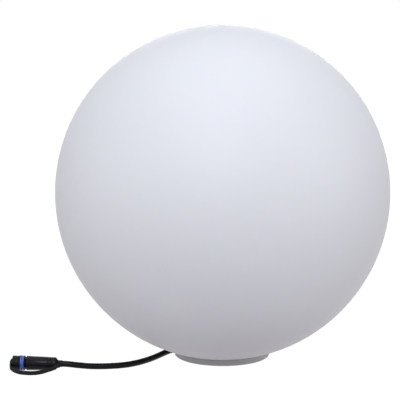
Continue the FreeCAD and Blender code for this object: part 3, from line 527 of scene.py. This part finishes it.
def soften(builder: bmesh.types.BMesh, width: float, segments: int = 3) -> None:
    """Round every edge whose faces meet at more than SOFTEN_ANGLE.

    Args:
        builder: the bmesh.
        width: size of the round.
        segments: faces across the round.
    """
    sharp = [edge for edge in builder.edges
             if len(edge.link_faces) == 2 and edge.calc_face_angle() > SOFTEN_ANGLE]
    bmesh.ops.bevel(builder, geom=sharp, offset=width, affect="EDGES", segments=segments,
                    profile=0.5, material=-1, clamp_overlap=True)


def carved(builder: bmesh.types.BMesh, cutter: bmesh.types.BMesh) -> bmesh.types.BMesh:
    """Cut one closed bmesh out of another.

    Args:
        builder: what is cut, which is freed.
        cutter: what is taken away, which is freed.

    Returns:
        What is left.
    """
    body = finished("carved_body", builder)
    tool = finished("carving_tool", cutter)
    boolean = body.modifiers.new("carve", "BOOLEAN")
    boolean.operation = "DIFFERENCE"
    boolean.solver = "EXACT"
    boolean.object = tool
    bpy.context.view_layer.update()
    rest = bmesh.new()
    rest.from_object(body, bpy.context.evaluated_depsgraph_get())
    for scrap in (body, tool):
        mesh = scrap.data
        bpy.data.objects.remove(scrap)
        bpy.data.meshes.remove(mesh)
    return rest


# ================================================================ plug and what is on it
@dataclass(frozen=True)
class PlugAxis:
    """The line that the plug lies on, as in the model: its cable end and its heading."""

    end: Vector = field(default_factory=lambda: Vector((-191.5, -80.3, 8.8)) * MM)
    heading: float = math.radians(176.5)

    def place(self) -> Matrix:
        """The transform that lays a mesh made along +Z down on the axis."""
        return (Matrix.Translation(self.end) @ Matrix.Rotation(self.heading, 4, "Z")
                @ Matrix.Rotation(math.pi / 2, 4, "Y"))

    def along(self) -> Vector:
        """The direction from the cable end to the nose."""
        return Vector((math.cos(self.heading), math.sin(self.heading), 0.0))

    def point(self, distance: float, sideways: float = 0.0) -> Vector:
        """A point along the axis and to its front side.

        Args:
            distance: from the cable end towards the nose.
            sideways: towards the front.

        Returns:
            The point.
        """
        side = Vector((0, 0, 1)).cross(self.along())
        return self.end + self.along() * distance + side * sideways


AXIS = PlugAxis()


class Turned(ABC):
    """A piece turned about the plug's axis, with its edges rounded."""

    edge: float

    @abstractmethod
    def outline(self) -> list[Pair]:
        """The corners of the section."""

    def turned(self) -> bmesh.types.BMesh:
        """The section spun about Z, with its sharp edges rounded."""
        builder = lathed(self.outline())
        soften(builder, self.edge)
        return builder


@dataclass(frozen=True)
class PlugBody(Turned):
    """The moulded plug: cone, tapered grip with two grooves, and open nose with its bead."""

    cable_radius: float = 4.2 * MM
    back_radius: float = 7.6 * MM
    front_radius: float = 8.5 * MM
    cone_length: float = 2.8 * MM
    length: float = 36.7 * MM
    grooves: Pair = (7.9 * MM, 11.6 * MM)
    groove_width: float = 1.1 * MM
    groove_depth: float = 0.5 * MM
    nose_radius: float = 5.0 * MM
    nose_bore: float = 4.0 * MM
    nose_end: float = 51.0 * MM
    bead_start: float = 40.0 * MM
    bead_width: float = 0.8 * MM
    bead_height: float = 0.6 * MM
    seal_start: float = 47.8 * MM
    seal_width: float = 1.4 * MM
    seal_depth: float = 0.5 * MM
    insert_start: float = 33.0 * MM
    edge: float = 0.25 * MM

    def radius_at(self, distance: float) -> float:
        """The radius along the taper."""
        share = (distance - self.cone_length) / (self.length - self.cone_length)
        return self.back_radius + share * (self.front_radius - self.back_radius)

    def outline(self) -> list[Pair]:
        """The corners of the section, from the cable end to the nose and back inside."""
        corners = [(0.0, 0.0), (self.cable_radius, 0.0), (self.back_radius, self.cone_length)]
        for groove in self.grooves:
            for side, depth in ((-1, 0), (-1, 1), (1, 1), (1, 0)):
                distance = groove + side * self.groove_width / 2
                corners.append((self.radius_at(distance) - depth * self.groove_depth, distance))
        seal_floor = self.nose_radius - self.seal_depth
        seal_end = self.seal_start + self.seal_width
        return corners + [
            (self.front_radius, self.length),
            (self.nose_radius, self.length),
            (self.nose_radius, self.bead_start),
            (self.nose_radius + self.bead_height, self.bead_start),
            (self.nose_radius, self.bead_start + self.bead_width),
            (self.nose_radius, self.seal_start),
            (seal_floor, self.seal_start),
            (seal_floor, seal_end),
            (self.nose_radius, seal_end),
            (self.nose_radius, self.nose_end),
            (self.nose_bore, self.nose_end),
            (self.nose_bore, self.insert_start),
            (0.0, self.insert_start),
        ]

    def build(self) -> bpy.types.Object:
        """Model and dress the plug."""
        piece = finished("plug_grip", self.turned(), AXIS.place())
        SHELF.dress(piece, PLUG_BLACK)
        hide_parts("plug_body")
        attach(piece, "root")
        return piece


class RingSlot(IntEnum):
    """Material slots of the locking ring: the grip's blue, and navy painted shade on the ends."""

    GRIP = 0
    SHADED_ENDS = 1


@dataclass(frozen=True)
class LockingRing(Turned):
    """The locking ring: a blue grip with a groove, a cone behind and a slotted lip, with navy
    painted shade on cone and lip.
    """

    start: float = 38.0 * MM
    flange: float = 1.6 * MM
    back_radius: float = 7.2 * MM
    radius: float = 8.8 * MM
    end: float = 45.6 * MM
    bore: float = 5.08 * MM
    cavity: float = 6.3 * MM
    lip_start: float = 43.5 * MM
    lip_step: float = 0.2 * MM
    groove_width: float = 0.8 * MM
    groove_depth: float = 0.35 * MM
    slot_width: float = 2.0 * MM
    slot_depth: float = 2.0 * MM
    edge: float = 0.2 * MM
    cutter_share: float = 3.0
    bore_share: float = 1.1

    def slot_cutter(self) -> bmesh.types.BMesh:
        """A bar across the front edge that cuts both bayonet slots."""
        height = self.slot_depth + self.radius
        size = Vector((self.cutter_share * self.radius, self.slot_width, height))
        middle = Vector((0, 0, self.end - self.slot_depth + height / 2))
        cutter = bmesh.new()
        bmesh.ops.create_cube(cutter, size=1.0)
        bmesh.ops.scale(cutter, vec=size, verts=cutter.verts)
        bmesh.ops.translate(cutter, vec=middle, verts=cutter.verts)
        return cutter

    def paint_grip_and_shade(self, builder: bmesh.types.BMesh) -> None:
        """Sort the faces into those of the grip and those of cone, lip and bore, which get navy
        painted shade.

        Args:
            builder: the ring's bmesh, along Z.
        """
        for face in builder.faces:
            middle = face.calc_center_median()
            on_grip = self.start + self.flange < middle.z < self.lip_start
            outside = math.hypot(middle.x, middle.y) > self.cavity * self.bore_share
            # faces off the grip get the navy painted shade
            face.material_index = RingSlot.GRIP if on_grip and outside else RingSlot.SHADED_ENDS

    def outline(self) -> list[Pair]:
        """The corners of the section, from the back of the bore round the outside."""
        cone_end = self.start + self.flange
        middle = (cone_end + self.lip_start) / 2
        floor = self.radius - self.groove_depth
        half = self.groove_width / 2
        lip_radius = self.radius - self.lip_step
        return [
            (self.bore, self.start),
            (self.back_radius, self.start),
            (self.radius, cone_end),
            (self.radius, middle - half),
            (floor, middle - half),
            (floor, middle + half),
            (self.radius, middle + half),
            (self.radius, self.lip_start),
            (lip_radius, self.lip_start + self.lip_step),
            (lip_radius, self.end),
            (self.cavity, self.end),
            (self.cavity, cone_end),
            (self.bore, cone_end),
        ]

    def build(self) -> bpy.types.Object:
        """Model and dress the ring."""
        builder = carved(self.turned(), self.slot_cutter())
        self.paint_grip_and_shade(builder)
        piece = finished("locking_ring", builder, AXIS.place())
        # the second slot holds the navy painted shade of the ring's ends
        for finish in (RING_BLUE, RING_NAVY_PAINTED_SHADE):
            piece.data.materials.append(SHELF.material(finish))
        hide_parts("coupling_ring")
        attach(piece, "coupling_ring")
        return piece


@dataclass(frozen=True)
class RubberCap(Turned):
    """The dust cap: a bore over the nose's seal and a stub for the strap."""

    start: float = 45.9 * MM
    length: float = 7.4 * MM
    end_wall: float = 1.6 * MM
    bore: float = 5.5 * MM
    radius: float = 8.5 * MM
    stub_radius: float = 2.2 * MM
    stub_length: float = 2.6 * MM
    head_radius: float = 3.2 * MM
    head_length: float = 0.9 * MM
    edge: float = 0.5 * MM

    def outline(self) -> list[Pair]:
        """The corners of the section, from the open end round the stub and back inside."""
        end = self.start + self.length
        head_start = end + self.stub_length
        head_end = head_start + self.head_length
        return [
            (self.bore, self.start),
            (self.radius, self.start),
            (self.radius, end),
            (self.stub_radius, end),
            (self.stub_radius, head_start),
            (self.head_radius, head_start),
            (self.head_radius, head_end),
            (0.0, head_end),
            (0.0, end - self.end_wall),
            (self.bore, end - self.end_wall),
        ]

    def build(self) -> bpy.types.Object:
        """Model and dress the cap."""
        piece = finished("rubber_cap", self.turned(), AXIS.place())
        SHELF.dress(piece, CAP_BLACK)
        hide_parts("dust_cap")
        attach(piece, "dust_cap")
        return piece


@dataclass(frozen=True)
class Strap:
    """The flat strap on edge, from an eye on the cap's stub round to the collar on the lead."""

    width: float = 4.8 * MM
    thickness: float = 1.6 * MM
    eye_inner: float = 2.4 * MM
    eye_outer: float = 4.8 * MM
    eye_start: float = 53.6 * MM
    eye_thickness: float = 2.0 * MM
    collar_inner: float = 3.65 * MM
    collar_radius: float = 4.05 * MM
    collar_gap: float = 0.4 * MM
    collar_lead_in: float = 1.2 * MM
    collar_drop: float = 1.2 * MM
    collar_length: float = 5.0 * MM
    collar_clearance: float = 0.05 * MM
    bend_start: Pair = (5.0 * MM, 20.0 * MM)
    bend_end_gap: float = 2.0 * MM
    bend_end_side: float = 8.0 * MM
    edge: float = 0.3 * MM
    edge_segments: int = 2
    turn_steps: int = 48
    samples: int = 12
    route: tuple[Triple, ...] = (
        (-246.8, -86.4, 6.6),
        (-243.2, -90.8, 4.2),
        (-236.2, -95.4, 2.7),
        (-227.8, -98.6, 2.45),
        (-218.6, -99.2, 2.45),
        (-209.8, -96.3, 2.8),
        (-202.6, -92.4, 4.0),
        (-195.8, -90.0, 5.9),
    )

    def knots(self) -> list[Vector]:
        """Where the strap passes, from its eye along the route to the collar."""
        eye_middle = self.eye_start + self.eye_thickness / 2
        on_collar = self.collar_radius + self.thickness / 2 + self.collar_gap
        drop = Vector((0, 0, self.collar_drop))
        return [
            AXIS.point(eye_middle, self.eye_outer - self.thickness / 2),
            *(Vector(place) * MM for place in self.route),
            AXIS.point(0.0, on_collar + self.collar_lead_in) - drop,
            AXIS.point(-self.collar_length / 2, on_collar) - drop,
        ]

    def centre_line(self) -> list[Vector]:
        """Points of a smooth curve through the knots."""
        points = self.knots()
        curve = bpy.data.curves.new("strap_line", "CURVE")
        curve.dimensions = "3D"
        curve.resolution_u = self.samples
        spline = curve.splines.new("BEZIER")
        spline.bezier_points.add(len(points) - 1)
        for knot, point in zip(spline.bezier_points, points):
            knot.co = point
            knot.handle_left_type = knot.handle_right_type = "AUTO"
        holder = linked("strap_line", curve)
        bpy.context.view_layer.update()
        line = bpy.data.meshes.new_from_object(holder)
        sampled = [vertex.co.copy() for vertex in line.vertices]
        bpy.data.objects.remove(holder)
        bpy.data.meshes.remove(line)
        bpy.data.curves.remove(curve)
        return sampled

    def band(self) -> bmesh.types.BMesh:
        """The strap itself: a thin upright section extruded along the centre line."""
        line = self.centre_line()
        builder = bmesh.new()
        up = Vector((0, 0, self.width / 2))
        rows = []
        for index, point in enumerate(line):
            ahead = line[min(index + 1, len(line) - 1)] - line[max(index - 1, 0)]
            side = ahead.cross(Vector((0, 0, 1))).normalized() * self.thickness / 2
            rows.append([builder.verts.new(point + offset)
                         for offset in (side + up, up - side, -side - up, side - up)])
        edges = [[builder.edges.new(pair) for pair in zip(row, row[1:] + row[:1])]
                 for row in rows]
        for first, second in zip(edges, edges[1:]):
            bmesh.ops.bridge_loops(builder, edges=first + second)
        for row in (rows[0], rows[-1]):
            builder.faces.new(row)
        bmesh.ops.recalc_face_normals(builder, faces=builder.faces)
        return builder

    def build_band(self) -> bpy.types.Object:
        """Model and dress the strap without its eye, laid along its route between cap and lead."""
        builder = self.band()
        soften(builder, self.edge, self.edge_segments)
        band = finished("strap_band", builder)
        SHELF.dress(band, STRAP_BLACK)
        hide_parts("cap_tether")
        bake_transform(band)
        return band

    def build_eye(self) -> None:
        """Model and dress the eye on the cap's stub."""
        eye_end = self.eye_start + self.eye_thickness
        builder = lathed([(self.eye_inner, self.eye_start), (self.eye_outer, self.eye_start),
                          (self.eye_outer, eye_end), (self.eye_inner, eye_end)],
                         self.turn_steps)
        soften(builder, self.edge)
        eye = finished("strap_eye", builder, AXIS.place())
        SHELF.dress(eye, STRAP_BLACK)
        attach(eye, "dust_cap")

    def build_collar(self) -> None:
        """Model and dress the collar that holds the strap on the lead."""
        back, front = -self.collar_length, -self.collar_clearance
        builder = lathed([(self.collar_inner, back), (self.collar_radius, back),
                          (self.collar_radius, front), (self.collar_inner, front)],
                         self.turn_steps)
        soften(builder, self.edge)
        collar = finished("strap_collar", builder, AXIS.place())
        SHELF.dress(collar, CAP_BLACK)
        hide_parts("tether_collar")
        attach(collar, "root")

    def build(self) -> bpy.types.Object:
        """Build strap, eye and collar, and give back the strap."""
        band = self.build_band()
        self.build_eye()
        self.build_collar()
        return band


# ================================================================ lead
@dataclass(frozen=True)
class Lead:
    """The free rubber lead from the gland under the hub to the plug."""

    diameter: float = 7.2 * MM
    length: float = 0.2523
    plug_run: float = 9.5 * MM
    round_steps: int = 8
    samples: int = 10
    order: int = 3
    route: tuple[Triple, ...] = (
        (0.0, 0.0, 36.5),
        (0.0, 0.0, 26.0),
        (-4.2, 1.9, 14.4),
        (-13.2, 5.9, 6.2),
        (-26.2, 11.3, 3.8),
        (-39.2, 13.4, 3.6),
        (-52.0, 10.5, 3.6),
        (-62.6, 3.0, 3.6),
        (-70.0, -9.8, 3.6),
        (-77.5, -24.5, 3.6),
        (-87.0, -40.3, 3.6),
        (-99.5, -55.6, 3.6),
        (-114.5, -66.8, 3.6),
        (-134.0, -72.0, 3.6),
        (-153.5, -75.1, 4.2),
        (-170.0, -79.4, 6.9),
    )

    def build(self, on_it: list[bpy.types.Object]) -> bpy.types.Object:
        """Args:
            on_it: the pieces on the lead; not used.

        Returns:
            The curve object.
        """
        points = [Vector(place) * MM for place in self.route]
        points += [AXIS.point(-self.plug_run), AXIS.point(0.0)]
        curve = bpy.data.curves.new("lead_cord", "CURVE")
        curve.dimensions = "3D"
        curve.bevel_depth = self.diameter / 2
        curve.bevel_resolution = self.round_steps
        curve.resolution_u = self.samples
        curve.use_fill_caps = True
        spline = curve.splines.new("NURBS")
        spline.points.add(len(points) - 1)
        for knot, point in zip(spline.points, points):
            knot.co = (*point, 1.0)
        spline.order_u = self.order
        spline.use_endpoint_u = True
        cord = linked("lead_cord", curve)
        SHELF.dress(cord, LEAD_BLACK)
        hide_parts("supply_cable")
        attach(cord, "root")
        return cord


# ================================================================ stage
COOL = (0.90, 0.935, 1.0)
PALE = (0.97, 0.975, 1.0)
WHITE = (1.0, 1.0, 1.0)


def facing(place: Vector, aim: Vector) -> Euler:
    """The turn that makes a lamp or camera at a place look at a point."""
    return (aim - place).to_track_quat("-Z", "Y").to_euler()


@dataclass(frozen=True)
class Softbox:
    """A square soft light, its place, its side and its power in watts."""

    name: str
    place: Triple
    size: float
    power: float
    colour: Triple = PALE

    def build(self, aim: Vector) -> None:
        """Hang the light so that it faces a point.

        Args:
            aim: the point.
        """
        light = bpy.data.lights.new(self.name, "AREA")
        light.shape = "SQUARE"
        light.size = self.size
        light.energy = self.power
        light.color = self.colour
        lamp = linked(self.name, light)
        lamp.location = self.place
        lamp.rotation_euler = facing(Vector(self.place), aim)


@dataclass(frozen=True)
class Stage:
    """Floor, light and camera."""

    floor_half: float = 6.0
    floor_drop: float = 0.2 * MM
    aim: Vector = field(default_factory=lambda: Vector((-0.02684, -0.00154, 0.19027)))
    camera_place: Vector = field(default_factory=lambda: Vector((0.0, -1.77905, 0.47282)))
    sensor: float = 36.0
    lens: float = 134.98
    sky: float = 0.05
    floor_white: float = 0.62
    floor_glow: float = 1.16
    floor_glow_share: float = 0.86
    floor_fill: float = 0.41
    floor_fill_share: float = 0.5
    floor_fill_colour: Triple = (1.0, 0.90, 0.97)
    lamps: tuple[Softbox, ...] = (
        Softbox("top", (0.0, -0.1, 2.4), 3.0, 31.0, COOL),
        Softbox("front_top", (-0.2, -1.9, 1.45), 0.9, 18.6, COOL),
        Softbox("left", (-1.9, -0.9, 0.8), 1.4, 10.2),
        Softbox("right", (1.9, -0.9, 0.8), 1.4, 13.4),
        Softbox("behind", (0.0, 2.3, 0.45), 1.2, 16.0),
    )

    def build_world(self) -> None:
        """White where it is seen or mirrored, softer where it lights."""
        world = bpy.data.worlds.new("studio")
        bpy.context.scene.world = world
        tree = Tree(world)
        lighting, white = (
            tree.add("ShaderNodeBackground", {}, {"Strength": strength, "Color": rgb(WHITE)})
            for strength in (self.sky, 1.0))
        tree.finish(tree.shader_mix(tree.seen(), lighting, white), "ShaderNodeOutputWorld")

    def build_floor(self) -> None:
        """A white floor that keeps a light shadow and throws a soft light up, clear from below."""
        builder = bmesh.new()
        bmesh.ops.create_grid(builder, x_segments=1, y_segments=1, size=self.floor_half)
        floor = finished("studio_floor", builder, Matrix.Translation((0, 0, -self.floor_drop)))
        material = bpy.data.materials.new("studio_floor")
        tree = Tree(material)
        seen = tree.seen()
        matt = tree.add("ShaderNodeBsdfDiffuse", {}, {"Color": rgb(WHITE, self.floor_white)})
        white = tree.add("ShaderNodeEmission", {}, {"Strength": self.floor_glow})
        fill = tree.add("ShaderNodeEmission", {}, {"Strength": self.floor_fill,
                                                   "Color": rgb(self.floor_fill_colour)})
        lit = tree.shader_mix(seen * self.floor_glow_share, matt, white)
        upper = tree.shader_mix((1.0 - seen) * self.floor_fill_share, lit, fill)
        clear = tree.add("ShaderNodeBsdfTransparent", {}, {})
        from_below = tree.add("ShaderNodeNewGeometry", {}, {}, "Backfacing")
        tree.finish(tree.shader_mix(from_below, upper, clear))
        floor.data.materials.append(material)

    def build_camera(self) -> None:
        """The photograph's viewpoint: a long lens from the front, a little above."""
        data = bpy.data.cameras.new("camera")
        data.sensor_width = self.sensor
        data.lens = self.lens
        camera = linked("camera", data)
        camera.location = self.camera_place
        camera.rotation_euler = facing(self.camera_place, self.aim)
        bpy.context.scene.camera = camera

    def build(self) -> None:
        """Set up everything that isn't the object."""
        bpy.context.scene.view_settings.view_transform = "Standard"
        self.build_camera()
        self.build_world()
        self.build_floor()
        for softbox in self.lamps:
            softbox.build(self.aim)


# ================================================================ whole object
def dress_nodes() -> None:
    """Give every carried node its finish."""
    for name, finish in NODE_FINISHES.items():
        SHELF.dress(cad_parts[name], finish)
    LOG.info("dressed %d nodes", len(NODE_FINISHES))


def main() -> None:
    """Build the stage and every piece, and report each."""
    logging.basicConfig(level=logging.INFO)
    Stage().build()
    dress_nodes()
    plug = PlugBody().build()
    ring = LockingRing().build()
    cap = RubberCap().build()
    strap = Strap().build()
    lead = Lead().build([plug, ring, cap, strap])
    for piece in (plug, ring, cap, strap, lead):
        LOG.info("built %s", piece.name)


if __name__ == "__main__":
    main()
